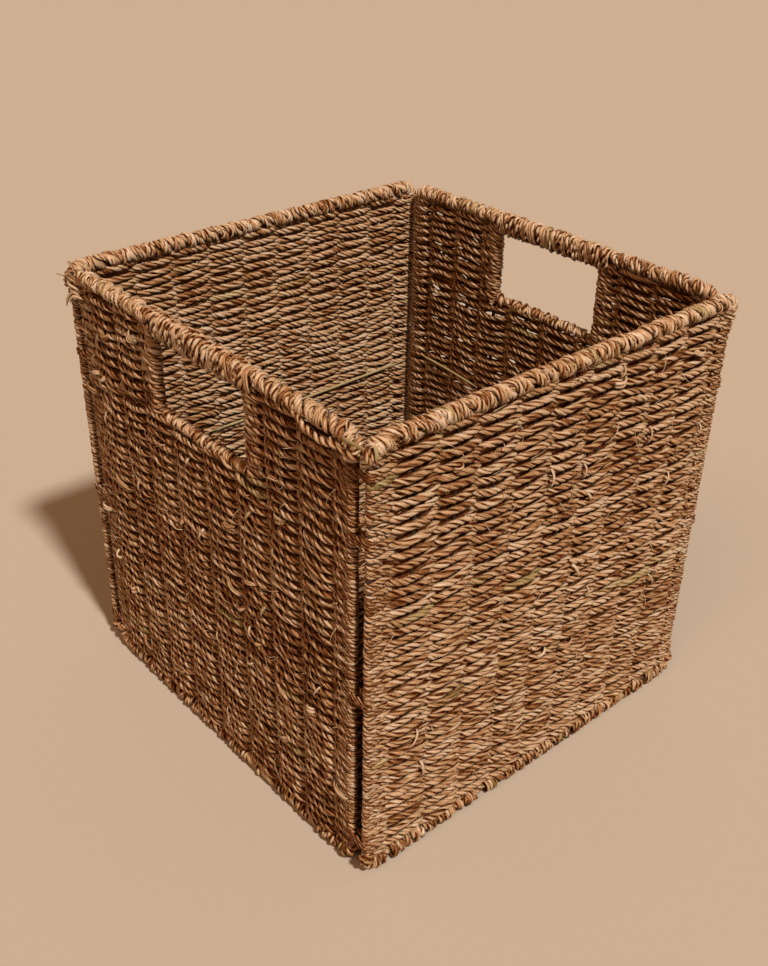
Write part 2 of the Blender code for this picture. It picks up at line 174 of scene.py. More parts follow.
class Bag:
    """Collects strands and turns them into one mesh with the numbers its material reads."""

    def __init__(self, seed):
        self.rng = np.random.default_rng(seed)
        self.co, self.quads, self.caps, self.fibre, self.tone, self.green = [], [], [], [], [], []
        self.count = 0

    def strand(self, path, out, thick, wide, tone, green=0.0, sides=6, rough=0.05, lobes=0.0):
        """One grass strand along path; out is its outward side, thick and wide its half sizes."""
        n = len(path)
        along = unit(np.gradient(path, axis=0))
        across = unit(np.cross(along, out))
        out = np.cross(across, along)
        turn = TAU * np.arange(sides) / sides
        thick = np.broadcast_to(np.asarray(thick, float), (n,))[:, None]
        wide = np.broadcast_to(np.asarray(wide, float), (n,))[:, None]
        swell = 1 + self.rng.normal(0, rough, (n, sides))
        if lobes:
            spin = lengths(path)[:, None] * TAU / 0.021 + self.rng.uniform(0, TAU)
            swell = swell + lobes * np.cos(3 * turn[None, :] + spin)
        x = thick * np.cos(turn) * swell
        y = wide * np.sin(turn) * swell
        co = path[:, None, :] + x[:, :, None] * out[:, None, :] + y[:, :, None] * across[:, None, :]
        length = lengths(path) + self.rng.uniform(0, 40)
        fibre = np.stack(
            [np.broadcast_to(length[:, None], (n, sides)), np.broadcast_to(np.cos(turn), (n, sides)),
             np.broadcast_to(np.sin(turn), (n, sides))], axis=-1)
        ring = self.count + np.arange(n)[:, None] * sides + np.arange(sides)[None, :]
        follow = np.roll(ring, -1, axis=1)
        quads = np.stack([ring[:-1], follow[:-1], follow[1:], ring[1:]], axis=-1)
        self.co.append(co.reshape(-1, 3))
        self.fibre.append(fibre.reshape(-1, 3))
        self.quads.append(quads.reshape(-1, 4))
        self.caps.append((ring[0, ::-1], ring[-1]))
        self.tone.append(np.repeat(np.broadcast_to(np.asarray(tone, float), (n,)), sides))
        self.green.append(np.repeat(np.broadcast_to(np.asarray(green, float), (n,)), sides))
        self.count += n * sides

    def cord(self, path, up, radius, offset, twist, tone, green=0.0, spread=0.085, plies=3, flat=1.0):
        """Strands twisted into a cord along path; up is a direction across it, flat squeezes the other."""
        rng = self.rng
        length = lengths(path)
        along = unit(np.gradient(path, axis=0))
        level = unit(up - along * np.sum(up * along, axis=1, keepdims=True))
        side = np.cross(level, along)
        rate = 1 / np.broadcast_to(np.asarray(twist, float), length.shape)
        turns = np.concatenate([[0.0], np.cumsum(np.diff(length) * (rate[1:] + rate[:-1]) / 2)])
        turns = turns / rng.uniform(0.84, 1.18) + wander(length, rng, 0.05, 0.10)
        phase = TAU * turns + rng.uniform(0, TAU)
        for ply in range(plies):
            angle = phase + TAU * ply / plies + wander(length, rng, 0.02, 0.30)
            radial = np.cos(angle)[:, None] * side + np.sin(angle)[:, None] * level
            away = np.asarray(offset, float) * (1 + wander(length, rng, 0.022, 0.16))
            squeezed = (flat * np.cos(angle))[:, None] * side + np.sin(angle)[:, None] * level
            centre = path + away.reshape(-1, 1) * squeezed
            own = radius * rng.uniform(0.84, 1.14) * (1 + wander(length, rng, 0.014, 0.17))
            shade = tone + rng.normal(0, spread) + wander(length, rng, 0.03, 0.075)
            self.strand(centre, radial, own * 0.95, own * 1.08, shade, green, rough=0.045, lobes=0.07)

    def bundle(self, path, up, wide, high, radius, twist, tone, green, count):
        """Loosely twisted strands laid side by side in a flat lobe; up is its outward side."""
        rng = self.rng
        length = lengths(path)
        along = unit(np.gradient(path, axis=0))
        level = unit(up - along * np.sum(up * along, axis=1, keepdims=True))
        side = np.cross(level, along)
        phase = TAU * length / (twist * rng.uniform(0.8, 1.3)) + rng.uniform(0, TAU)
        for ply in range(count):
            angle = phase + TAU * ply / count + wander(length, rng, 0.02, 0.20)
            across, rise = np.cos(angle)[:, None], np.sin(angle)[:, None]
            centre = path + wide * across * side + high * rise * level
            own = radius * rng.uniform(0.80, 1.15) * (1 + wander(length, rng, 0.012, 0.10))
            shade = tone + rng.normal(0, 0.075) + wander(length, rng, 0.03, 0.05)
            outward = unit(high * across * side + wide * rise * level)
            self.strand(centre, outward, own, own * 1.1, shade, green)

    def piece(self, name, material, body, nodes=()):
        """The mesh of everything in the bag, as a piece of the basket."""
        co = np.concatenate(self.co)
        quads = np.concatenate(self.quads)
        caps = [cap for pair in self.caps for cap in pair]
        mesh = bpy.data.meshes.new(name)
        mesh.vertices.add(len(co))
        mesh.vertices.foreach_set("co", co.astype(np.float32).ravel())
        loops = np.concatenate([quads.ravel()] + caps)
        sizes = np.concatenate([np.full(len(quads), 4), [len(cap) for cap in caps]]).astype(int)
        mesh.loops.add(len(loops))
        mesh.loops.foreach_set("vertex_index", loops.astype(np.int32))
        mesh.polygons.add(len(sizes))
        starts = np.concatenate([[0], np.cumsum(sizes)[:-1]])
        mesh.polygons.foreach_set("loop_start", starts.astype(np.int32))
        mesh.update(calc_edges=True)
        mesh.shade_smooth()
        for label, kind, values in (
            ("fibre", "FLOAT_VECTOR", np.concatenate(self.fibre)),
            ("tone", "FLOAT", np.concatenate(self.tone)),
            ("green", "FLOAT", np.concatenate(self.green)),
        ):
            attribute = mesh.attributes.new(label, kind, "POINT")
            key = "vector" if kind == "FLOAT_VECTOR" else "value"
            attribute.data.foreach_set(key, values.astype(np.float32).ravel())
        mesh.materials.append(material)
        obj = bpy.data.objects.new(name, mesh)
        bpy.context.scene.collection.objects.link(obj)
        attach(obj, body)
        if nodes:
            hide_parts(*nodes)


# Where each panel's s (along it), t (straight through it) and z (up it) are in the room

def place_front(p):
    return np.stack([p[:, 0], p[:, 1] - PLAIN_Y, p[:, 2]], axis=1)


def place_back(p):
    return np.stack([p[:, 0], p[:, 1] + PLAIN_Y, p[:, 2]], axis=1)


def place_left(p):
    return np.stack([-p[:, 1] - HANDLE_X, p[:, 0], p[:, 2]], axis=1)


def place_right(p):
    return np.stack([-p[:, 1] + HANDLE_X, p[:, 0], p[:, 2]], axis=1)


def place_base(p):
    return np.stack([p[:, 0], p[:, 2] + HINGE_Y, HINGE_Z - p[:, 1]], axis=1)


def turned(place, v):
    """A direction of the panel as a direction in the room."""
    v = np.atleast_2d(np.asarray(v, float))
    return place(v) - place(np.zeros_like(v))


def facing(place, v, path):
    """A direction of the panel, once for each point of a path."""
    return np.repeat(turned(place, v), len(path), axis=0)


def swing(u, steep):
    """From -1 to 1, flat at both ends and steep in the middle, more so as steep goes from 0 to 1."""
    u = u + steep * (0.5 * u - 0.5 * u**3)
    return np.sin(math.pi / 2 * (1.5 * u - 0.5 * u**3))


def crossing(start, end, step, steep=0.0):
    """Points from one crest to the next."""
    count = max(4, int(round(abs(end[0] - start[0]) / step)))
    u = np.linspace(-1, 1, count, endpoint=False)
    s = start[0] + (end[0] - start[0]) * (u + 1) / 2
    t = (start[1] + end[1]) / 2 + (end[1] - start[1]) / 2 * swing(u, steep)
    return np.stack([s, t], axis=1)


def hook(s, t, outward, tail):
    """From a crest at a rod, round the rod and back into the sheet."""
    angle = np.linspace(math.pi / 2, -math.pi / 2, 9)
    turn = np.stack([s + outward * abs(t) * np.cos(angle), t * np.sin(angle)], axis=1)
    back = crossing((s, -t), (s - outward * tail, -0.25 * t), STEP)[1:]
    return np.concatenate([turn, back])


def row_line(stops, crest, wraps, sign, tail, steep):
    """The plan of a row over its stakes, hooked round the rods at both ends."""
    signs = [sign * (-1) ** i for i in range(len(stops))]
    outs = [wraps[0]] + [crest] * (len(stops) - 2) + [wraps[1]]
    crests = [(s, g * o) for s, g, o in zip(stops, signs, outs)]
    parts = [hook(crests[0][0], crests[0][1], -1, tail[0])[::-1][:-1]]
    parts += [crossing(a, b, STEP, steep) for a, b in zip(crests, crests[1:])]
    parts.append(hook(crests[-1][0], crests[-1][1], 1, tail[1]))
    return np.concatenate(parts)


def weave_row(bag, place, line, height, sag, thickness, tone, green, settle, gaps, gap_shade):
    """One row of cord along a plan, and the leaf behind it, coloured as painted shade for the gaps."""
    rng = bag.rng
    s, t = line[:, 0], line[:, 1]
    length = lengths(line)
    z = height + sag(s, height) + wander(length, rng, 0.035, 0.00058 * settle)
    ends = np.clip((np.abs(s) - (abs(s).max() - END_ZONE)) / (0.75 * END_ZONE), 0, 1)
    z = z + ends * wander(length, rng, 0.012, 0.0003)
    out = t + wander(s, rng, 0.05, 0.00022) * (1 - ends)
    path = place(np.stack([s, out, z], axis=1))
    tight = 1 - END_TIGHT * ends
    twist = TWIST * (1 - END_TWIST * ends)
    up = facing(place, (0, 0, 1), path)
    bag.cord(path, up, PLY_R * tight * thickness, PLY_OFFSET * tight * thickness, twist, tone, green,
             flat=1 - END_FLAT * ends)
    gap_shade_leaf(bag, place, s, z, gaps, gap_shade)


def gap_shade_leaf(bag, place, s, z, gaps, tone):
    """The leaf in the sheet's middle, whose tone is painted shade for the gaps between rows; gaps is how
    many notches a full row has on average.
    """
    rng = bag.rng
    low, high = s.min() + BACKING_INSET, s.max() - BACKING_INSET
    where = np.linspace(low, high, max(6, int((high - low) / BACKING_STEP)))
    order = np.argsort(s)
    height = np.interp(where, s[order], z[order])
    path = place(np.stack([where, wander(where, rng, 0.03, 0.00015), height], axis=1))
    wide = BACKING_WIDE * np.ones(len(where))
    for _ in range(rng.poisson(gaps * (high - low) / FULL_ROW)):
        notch = np.exp(-((where - rng.uniform(low, high)) / NOTCH) ** 2)
        wide = wide * (1 - NOTCH_DEPTH * notch)
    through = facing(place, (0, 1, 0), path)
    bag.strand(path, through, BACKING_THICK, wide, tone, 0.0, sides=4, rough=0.06)


def rows_between(rng, low, high, pitch):
    """Heights of the rows, slightly uneven."""
    count = int(round((high - low) / pitch))
    gaps = rng.uniform(0.85, 1.15, count)
    return low + (high - low) * np.concatenate([[0], np.cumsum(gaps)]) / gaps.sum()


def row_spans(stakes, z):
    """The stakes that a row at height z is woven over, in one span or in two beside a hand hole."""
    if stakes:
        return [stakes]
    mirror = [-s for s in HANDLE_STAKES[::-1]]
    if z > SILL_Z:
        return [mirror, HANDLE_STAKES]
    return [mirror + UNDER_HOLE + HANDLE_STAKES]


def weave_panel(name, place, body, seed, stakes, flat=False, bulk=1.0, wraps=(ROD_WRAP, ROD_WRAP),
                gaps=1.0, top_gaps=0.0, crest=FLOAT_OUT, gap_shade=0.22, pitch=ROW_PITCH, steep=0.35,
                shade=0.5):
    """A panel's woven sheet, in strips; a panel without stakes of its own has a hand hole.

    bulk is the cord's thickness; crest and wraps are how far it stands off at a stake and at the rods,
    and steep how sharply it crosses the sheet. gaps and top_gaps count the notches in the middle leaf,
    whose tone paints the shade in the gaps between rows; shade is the cords' tone, set lighter on the back
    and right sheets as painted light on their inner faces.
    """
    rng = np.random.default_rng(seed)
    low, high = BASE_ROWS if flat else WALL_ROWS
    sag = field(rng, 0.09, 0.0005 if flat else 0.0015)
    heights = rows_between(rng, low, high, pitch)
    patch = field(rng, 0.07, 0.035)
    strips = np.array_split(np.arange(len(heights)), STRIPS)
    for number, strip in enumerate(strips, 1):
        bag = Bag(seed * 10 + number)
        for k in strip:
            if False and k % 4 > 1:
                continue
            z = heights[k]
            sign = 1 if k % 2 else -1
            settle = np.clip(min(z - low, high - z) / SETTLE_ZONE, 0, 1)

            def eased(s, h, settle=settle):
                return sag(s, h) * settle

            spans = row_spans(stakes, z)
            for part, span in enumerate(spans):
                tail = bag.rng.uniform(0.008, 0.014, 2)
                edges = wraps
                if len(spans) == 2:
                    edges = (wraps[0], HOLE_WRAP) if part == 0 else (HOLE_WRAP, wraps[1])
                line = row_line(span, crest, edges, sign * (-1) ** part, tail, steep)
                tone = shade + bag.rng.normal(0, 0.06) + patch(line[:, 0], z)
                green = 0.0
                if bag.rng.random() < 0.10:
                    start = bag.rng.uniform(-0.16, 0.16)
                    green = bag.rng.uniform(0.3, 0.8) * np.exp(-((line[:, 0] - start) / 0.03) ** 2)
                thick = bulk * bag.rng.uniform(0.93, 1.08)
                notches = gaps + top_gaps * (z > TOP_ZONE)
                weave_row(bag, place, line, z, eased, thick, tone, green, settle, notches, gap_shade)
        nodes = [f"{name}_weave"] if number == 1 else []
        bag.piece(f"{name}_weave_strip_{number}", GRASS, body, nodes)


# Materials

def grass_material(name, shades, roughness):
    """Seagrass: a ramp of shades read by each strand's tone, with streaks and green patches, and painted
    shade in the bump's creases and on each strand's sides away from its outward face.
    """
    material = bpy.data.materials.new(name)
    material.use_nodes = True
    nodes, links = material.node_tree.nodes, material.node_tree.links
    shader = nodes["Principled BSDF"]

    def attribute(label, output):
        made = nodes.new("ShaderNodeAttribute")
        made.attribute_name = label
        return made.outputs[output]

    def math_node(operation, a, b=None, clamp=False):
        made = nodes.new("ShaderNodeMath")
        made.operation = operation
        made.use_clamp = clamp
        for socket, value in zip(made.inputs, (a, b)):
            if value is None:
                continue
            if isinstance(value, (int, float)):
                socket.default_value = value
            else:
                links.new(value, socket)
        return made.outputs[0]

    fibre = attribute("fibre", "Vector")
    tone = attribute("tone", "Fac")
    green = attribute("green", "Fac")

    def stretched(along, round_it):
        mapping = nodes.new("ShaderNodeMapping")
        mapping.inputs["Scale"].default_value = (along, round_it, round_it)
        links.new(fibre, mapping.inputs["Vector"])
        return mapping.outputs["Vector"]

    def noise(vector, scale, detail):
        made = nodes.new("ShaderNodeTexNoise")
        made.inputs["Scale"].default_value = scale
        made.inputs["Detail"].default_value = detail
        links.new(vector, made.inputs["Vector"])
        return made.outputs["Fac"]

    streaks = noise(stretched(90, 2.6), 1.0, 3.0)
    fine = noise(stretched(260, 7.0), 1.0, 2.0)
    blotch = noise(stretched(160, 0.6), 1.0, 2.0)
    broad = noise(nodes.new("ShaderNodeTexCoord").outputs["Object"], 22, 2.0)

    ridge = math_node("ABSOLUTE", math_node("SUBTRACT", noise(stretched(55, 1.7), 1.0, 1.0), 0.5))
    crease_and_shade = math_node("SUBTRACT", 1.0, math_node("MULTIPLY", ridge, 14.0), clamp=True)
    level = tone
    for pattern, weight in ((streaks, 0.62), (fine, 0.45), (blotch, 0.35), (broad, 0.25)):
        centred = math_node("SUBTRACT", pattern, 0.5)
        level = math_node("ADD", level, math_node("MULTIPLY", centred, weight))
    # Painted shade: darker along the creases that the bump cuts.
    level = math_node("SUBTRACT", level, math_node("MULTIPLY", crease_and_shade, 0.30))
    # Painted shade: a strand darkens as its surface turns away from its outward side (fibre's Y is 1
    # there), so each ply is dark on its flanks and inner face, where the plies meet.
    split = nodes.new("ShaderNodeSeparateXYZ")
    links.new(fibre, split.inputs["Vector"])
    ply_side_shade = nodes.new("ShaderNodeMapRange")
    ply_side_shade.interpolation_type = "SMOOTHSTEP"
    ply_side_shade.inputs["From Min"].default_value = 0.70
    ply_side_shade.inputs["From Max"].default_value = -0.35
    links.new(split.outputs["Y"], ply_side_shade.inputs["Value"])
    level = math_node("SUBTRACT", level, math_node("MULTIPLY", ply_side_shade.outputs["Result"], 0.66))
    ramp = nodes.new("ShaderNodeValToRGB")
    first, last = ramp.color_ramp.elements
    first.position, last.position = shades[0][0], shades[-1][0]
    first.color, last.color = (*shades[0][1], 1), (*shades[-1][1], 1)
    for place_on_ramp, colour in shades[1:-1]:
        ramp.color_ramp.elements.new(place_on_ramp).color = (*colour, 1)
    links.new(level, ramp.inputs["Fac"])

    tint = nodes.new("ShaderNodeMix")
    tint.data_type = "RGBA"
    tint.blend_type = "MIX"
    patches = math_node("MULTIPLY", math_node("SUBTRACT", blotch, 0.56), 3.0, clamp=True)
    amount = math_node("MULTIPLY", green, 0.75)
    amount = math_node("ADD", amount, math_node("MULTIPLY", patches, 0.35), clamp=True)
    links.new(amount, tint.inputs["Factor"])
    links.new(ramp.outputs["Color"], tint.inputs["A"])
    tint.inputs["B"].default_value = (0.235, 0.215, 0.085, 1)
    links.new(tint.outputs["Result"], shader.inputs["Base Color"])

    rough = math_node("ADD", math_node("MULTIPLY", streaks, 0.25), roughness - 0.12)
    links.new(rough, shader.inputs["Roughness"])
    shader.inputs["Specular IOR Level"].default_value = 0.36
    shader.inputs["Specular Tint"].default_value = (1.0, 0.66, 0.38, 1)
    bump = nodes.new("ShaderNodeBump")
    bump.inputs["Strength"].default_value = 0.55
    bump.inputs["Distance"].default_value = 0.00035
    relief = math_node("ADD", math_node("MULTIPLY", streaks, 0.7), math_node("MULTIPLY", fine, 0.5))
    relief = math_node("SUBTRACT", relief, math_node("MULTIPLY", crease_and_shade, 0.6))
    links.new(relief, bump.inputs["Height"])
    links.new(bump.outputs["Normal"], shader.inputs["Normal"])
    return material


def steel_material():
    """Lacquered wire, dulled and lightly rusted where the grass holds damp."""
    material = bpy.data.materials.new("frame_wire_aged")
    material.use_nodes = True
    nodes, links = material.node_tree.nodes, material.node_tree.links
    shader = nodes["Principled BSDF"]
    position = nodes.new("ShaderNodeTexCoord").outputs["Object"]
    rust = nodes.new("ShaderNodeTexNoise")
    rust.inputs["Scale"].default_value = 140
    rust.inputs["Detail"].default_value = 5
    links.new(position, rust.inputs["Vector"])
    ramp = nodes.new("ShaderNodeValToRGB")
    ramp.color_ramp.elements[0].position = 0.42
    ramp.color_ramp.elements[0].color = (0.034, 0.021, 0.013, 1)
    ramp.color_ramp.elements[1].position = 0.68
    ramp.color_ramp.elements[1].color = (0.070, 0.030, 0.012, 1)
    links.new(rust.outputs["Fac"], ramp.inputs["Fac"])
    links.new(ramp.outputs["Color"], shader.inputs["Base Color"])
    gloss = nodes.new("ShaderNodeMapRange")
    gloss.inputs["To Min"].default_value = 0.50
    gloss.inputs["To Max"].default_value = 0.85
    links.new(rust.outputs["Fac"], gloss.inputs["Value"])
    links.new(gloss.outputs["Result"], shader.inputs["Roughness"])
    shader.inputs["Metallic"].default_value = 0.3
    bump = nodes.new("ShaderNodeBump")
    bump.inputs["Strength"].default_value = 0.4
    bump.inputs["Distance"].default_value = 0.0002
    links.new(rust.outputs["Fac"], bump.inputs["Height"])
    links.new(bump.outputs["Normal"], shader.inputs["Normal"])
    return material


CORD_SHADES = [(0.05, (0.062, 0.014, 0.002)), (0.27, (0.226, 0.104, 0.037)), (0.50, (0.385, 0.270, 0.168)),
               (0.72, (0.428, 0.342, 0.255)), (0.95, (0.475, 0.405, 0.330))]
WRAP_SHADES = [(0.05, (0.075, 0.018, 0.003)), (0.27, (0.262, 0.124, 0.046)), (0.50, (0.430, 0.304, 0.190)),
               (0.72, (0.475, 0.382, 0.285)), (0.95, (0.520, 0.440, 0.360))]
GRASS = grass_material("seagrass_cord", CORD_SHADES, 0.42)
WRAP = grass_material("seagrass_wrap", WRAP_SHADES, 0.42)
STEEL = steel_material()

# The wires keep their CAD shape and only change their material
for node_name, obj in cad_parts.items():
    if node_name.endswith("_frame"):
        for material_slot in obj.material_slots:
            material_slot.material = STEEL


# Bound edges

def edge_line(half, height, inward, start=None, end=None):
    """A bound edge's centre line round both corners, in a panel's s and z, or from start to end."""
    line = [(-half, height + inward * CORNER_DROP), (-half, height + inward * (CORNER_R + 0.0004))]
    for angle in np.linspace(0, math.pi / 2, 7):
        aside, down = CORNER_R * (1 - math.cos(angle)), CORNER_R * (1 - math.sin(angle))
        line.append((aside - half, height + inward * down))
    points = np.array(line + [(-s, z) for s, z in line[::-1]])
    if start is not None:
        points = points[points[:, 0] > start]
        points = np.concatenate([[(start, height)], points])
    if end is not None:
        points = points[points[:, 0] < end]
        points = np.concatenate([points, [(end, height)]])
    return points


def resampled(line, step=0.0008):
    """Even points along a line, and how far along it they are."""
    length = lengths(line)
    count = max(3, int(length[-1] / step))
    where = np.linspace(0, length[-1], count)
    points = np.stack([np.interp(where, length, line[:, i]) for i in range(line.shape[1])], axis=1)
    return points, where


def bound_edge(bag, place, line, inward, radius, spacing, starts=3, skip=(), floor=None, tone=0.55,
               squash=None, loose=1.0, lobe=None):
    """Turns of twisted seagrass round a rod, whose centre is line, in s and z.

    A turn begins at every spacing and runs on over starts of them. The panel is on the inward side, 1
    above the rod and -1 below it. Turns in the stretches to skip are left out, and none goes under the
    floor.
    """
    rng = bag.rng
    points, where = resampled(line)
    along2 = unit(np.gradient(points, axis=0))
    total = where[-1]
    rise = spacing * starts
    outward2 = -inward * np.stack([-along2[:, 1], along2[:, 0]], axis=1)

    def at(distance):
        p = np.stack([np.interp(distance, where, points[:, i]) for i in (0, 1)], axis=1)
        o = unit(np.stack([np.interp(distance, where, outward2[:, i]) for i in (0, 1)], axis=1))
        flat = np.zeros(len(p))
        return (np.stack([p[:, 0], flat, p[:, 1]], axis=1), np.stack([o[:, 0], flat, o[:, 1]], axis=1))

    through = np.array([0.0, inward, 0.0])
    u = np.linspace(0, 1, 20)
    ends = np.clip(1 - np.minimum(u, 1 - u) / 0.10, 0, 1)
    position = -rise * 0.5
    while position < total - rise * 0.45:
        begin = position + rng.normal(0, 0.0005 * loose)
        advance = rise * rng.uniform(0.8, 1.25)
        sway = 0.06 * np.sin(2 * TAU * u + rng.uniform(0, TAU))
        distance = np.clip(begin + advance * (u + sway), 0, total)
        middle = begin + advance / 2
        position += spacing * rng.uniform(0.82, 1.16)
        if any(low < middle < high for low, high in skip) or not 0 <= middle <= total:
            continue
        centre, up = at(distance)
        angle = TAU * (u - 0.5) * 1.04 + rng.normal(0, 0.10)
        size = radius * (1 + rng.normal(0, 0.035) * loose) * (1 - 0.22 * ends)
        c, s = np.cos(angle), np.sin(angle)
        if squash:
            power, high, wide = squash
            c = np.sign(c) * np.abs(c) ** power * high / radius
            s = np.sign(s) * np.abs(s) ** power * wide / radius
        radial = c[:, None] * up + s[:, None] * through
        path = centre + size[:, None] * radial
        if floor is not None:
            path[:, 2] = np.maximum(path[:, 2], floor + 0.0010)
        shade = tone + 0.03 + rng.normal(0, 0.10)
        lay_turn(bag, place, path, unit(np.gradient(centre, axis=0)), radial, shade, lobe)


def lay_turn(bag, place, path, along, radial, shade, lobe):
    """One turn of a bound edge, at random: a cord, a loose bundle, two strands or a flat leaf."""
    rng = bag.rng
    world, out = place(path), turned(place, radial)
    green = rng.uniform(0.2, 0.6) if rng.random() < 0.04 else 0.0
    kind = rng.random()
    if lobe and kind < 0.60:
        bag.cord(world, out + 1e-6, 0.00112, 0.00118, rng.uniform(0.013, 0.020), shade, green, spread=0.11)
    elif lobe and kind < 0.92:
        wide, high, fine = lobe
        wide = wide * rng.uniform(0.75, 1.15)
        bag.bundle(world, out, wide, high, fine, 0.021, shade, green, 4 if wide > 0.0015 else 3)
    elif kind < 0.72:
        twist = rng.uniform(0.010, 0.016)
        bag.cord(world, out + 1e-6, 0.00120, 0.00108, twist, shade, green, spread=0.09, plies=2)
    elif kind < 0.94:
        for shift in (-0.0011, 0.0011):
            beside = place(path + shift * along)
            bag.strand(beside, out, 0.0010, 0.00115, shade + rng.normal(0, 0.06), green)
    else:
        bag.strand(world, out, 0.0008, 0.0023, shade + 0.12, green)


def core(bag, place, line, radius, floor=None, scale=None):
    """The cord along a rod, under its wraps and mostly hidden."""
    points, where = resampled(line, 0.003)
    path = np.stack([points[:, 0], np.zeros(len(points)), points[:, 1]], axis=1)
    size = radius * (scale(where) if scale else np.ones(len(where)))
    if floor is not None:
        path[:, 2] = np.maximum(path[:, 2], floor + size)
    bag.cord(place(path), facing(place, (0, 1, 0), path), size * 0.52, size * 0.50, 0.016, 0.42)


def rim(name, place, half, seed, start=None, end=None):
    """A wall's bound upper edge, or a stretch of it beside a grip."""
    bag = Bag(seed)
    line = edge_line(half, ROD_HIGH, -1, start, end)
    core(bag, place, line, CORE_R)
    bound_edge(bag, place, line, -1, RIM_TURN, spacing=0.0047, starts=4, lobe=BUNDLE, loose=1.6)
    bag.piece(f"{name}_wraps", WRAP, "walls", [name])


def foot(name, place, half, seed, waists=()):
    """A wall's bound lower edge, bare and slimmer at each waist, where a hinge lashing goes round it."""
    bag = Bag(seed)
    line = edge_line(half, ROD_LOW, 1)
    total = lengths(line)[-1]
    zones = [(total / 2 + x - WAIST_HALF, total / 2 + x + WAIST_HALF) for x in waists]

    def scale(distance):
        size = np.ones_like(distance)
        for low, high in zones:
            size = np.where((distance > low - 0.0003) & (distance < high + 0.0003), WAIST_CORE, size)
        return size

    core(bag, place, line, CORE_R, floor=0.0004, scale=scale)
    bare = [(low - 0.0020, high + 0.0020) for low, high in zones]
    bound_edge(bag, place, line, 1, FOOT_TURN, spacing=0.0043, skip=bare, floor=0.0002, tone=0.42,
               loose=1.4)
    bag.piece(f"{name}_wraps", WRAP, "walls", [name])


def grip(name, place, seed):
    """The bound grip over a hand hole, wound close round a wide oval."""
    bag = Bag(seed)
    low, high = GRIP_LOW.z, GRIP_HIGH.z
    middle = (low + high) / 2
    half_high, half_wide = (high - low) / 2 - 0.0018, (GRIP_HIGH.x - GRIP_LOW.x) / 2 - 0.0016
    path = line_between((-GRIP_HALF + 0.001, 0, middle), (GRIP_HALF - 0.001, 0, middle), 30)
    up = facing(place, (0, 0, 1), path)
    bag.strand(place(path), up, half_high - 0.0009, half_wide - 0.0009, 0.34, 0.0, sides=12)
    line = np.array([(-GRIP_HALF, middle), (GRIP_HALF, middle)])
    oval = (0.72, half_high, half_wide)
    bound_edge(bag, place, line, -1, half_high, spacing=0.0036, starts=4, squash=oval)
    bag.piece(f"{name}_wraps", WRAP, "walls", [name])


def sill(name, place, seed):
    """The bound wire under a hand hole."""
    bag = Bag(seed)
    line = np.array([(-SILL_HALF, SILL_Z), (SILL_HALF, SILL_Z)])
    core(bag, place, line, 0.0027)
    bound_edge(bag, place, line, -1, SILL_TURN, spacing=0.0048, starts=2, loose=1.6, tone=0.5)
    bag.piece(f"{name}_wraps", WRAP, "walls", [name])


def base_binding():
    """The base flap's bound free edge, and the wraps that turn with it round the hinge rod."""
    bag = Bag(700)
    line = edge_line(BASE_HALF, BASE_LENGTH, -1)
    core(bag, place_base, line, BASE_TURN)
    bound_edge(bag, place_base, line, -1, BASE_TURN, spacing=0.0044, tone=0.45, loose=0.8)
    bag.piece("base_binding_wraps", WRAP, "base", ["base_binding"])
    bag = Bag(701)
    low, high = -BASE_HALF + 0.002, BASE_HALF - 0.002
    line = np.array([(low, 0.0), (high, 0.0)])
    bare = [(x - low - 0.0066, x - low + 0.0066) for x in HINGE_LASHING_X]
    bound_edge(bag, place_base, line, 1, HINGE_TURN, spacing=0.0044, skip=bare, tone=0.42, loose=0.6)
    bag.piece("base_hinge_wraps", WRAP, "base")


# Lashings

def belt(distance, radius_a, radius_b, steps=10):
    """A closed line round two circles in a plane, one at the origin and one along the first axis."""
    lean = math.asin((radius_a - radius_b) / distance)
    top = math.pi / 2 - lean
    a = np.linspace(top, TAU - top, steps)
    b = np.linspace(-top, top, steps)
    first = np.stack([radius_a * np.cos(a), radius_a * np.sin(a)], axis=1)
    second = np.stack([distance + radius_b * np.cos(b), radius_b * np.sin(b)], axis=1)
    return np.concatenate([first, second])


def lashing_turns(bag, start, end, axis, radius_a, radius_b, width, fine, green_share):
    """Turns of strand round two rods at start and end, side by side along axis."""
    rng = bag.rng
    start, end, axis = (np.asarray(v, float) for v in (start, end, axis))
    towards = end - start
    distance = np.linalg.norm(towards)
    u = towards / distance
    v = np.cross(axis, u)
    for turn in range(LASHING_TURNS):
        level = (turn + 0.5) / LASHING_TURNS - 0.5
        loop = belt(distance, radius_a * rng.uniform(0.98, 1.04), radius_b * rng.uniform(0.98, 1.03))
        loop = np.roll(loop, rng.integers(len(loop)), axis=0)
        loop = np.concatenate([loop, loop[:3]])
        length = lengths(loop)
        shift = level * width + width / LASHING_TURNS * (length / length[-1] - 0.5)
        shift = shift + wander(length, rng, 0.02, 0.0003)
        path = start + loop[:, :1] * u + loop[:, 1:] * v + shift[:, None] * axis
        middle = start + towards / 2
        out = path - middle
        out = out - (out @ axis)[:, None] * axis
        inner = np.clip(out @ u, -distance / 2, distance / 2)
        out = out - inner[:, None] * u
        line, where = resampled(path, 0.0012)
        out = np.stack([np.interp(where, lengths(path), out[:, i]) for i in range(3)], axis=1)
        green = rng.uniform(0.2, 0.7) if rng.random() < green_share else 0.0
        if rng.random() < 0.7 or not green_share:
            bag.cord(line, unit(out), fine, fine * 0.85, 0.011, 0.36 + rng.normal(0, 0.10), green, plies=2)
        else:
            wide = width / LASHING_TURNS * 0.52
            bag.strand(line, unit(out), 0.0008, wide, 0.45 + rng.normal(0, 0.15), green)


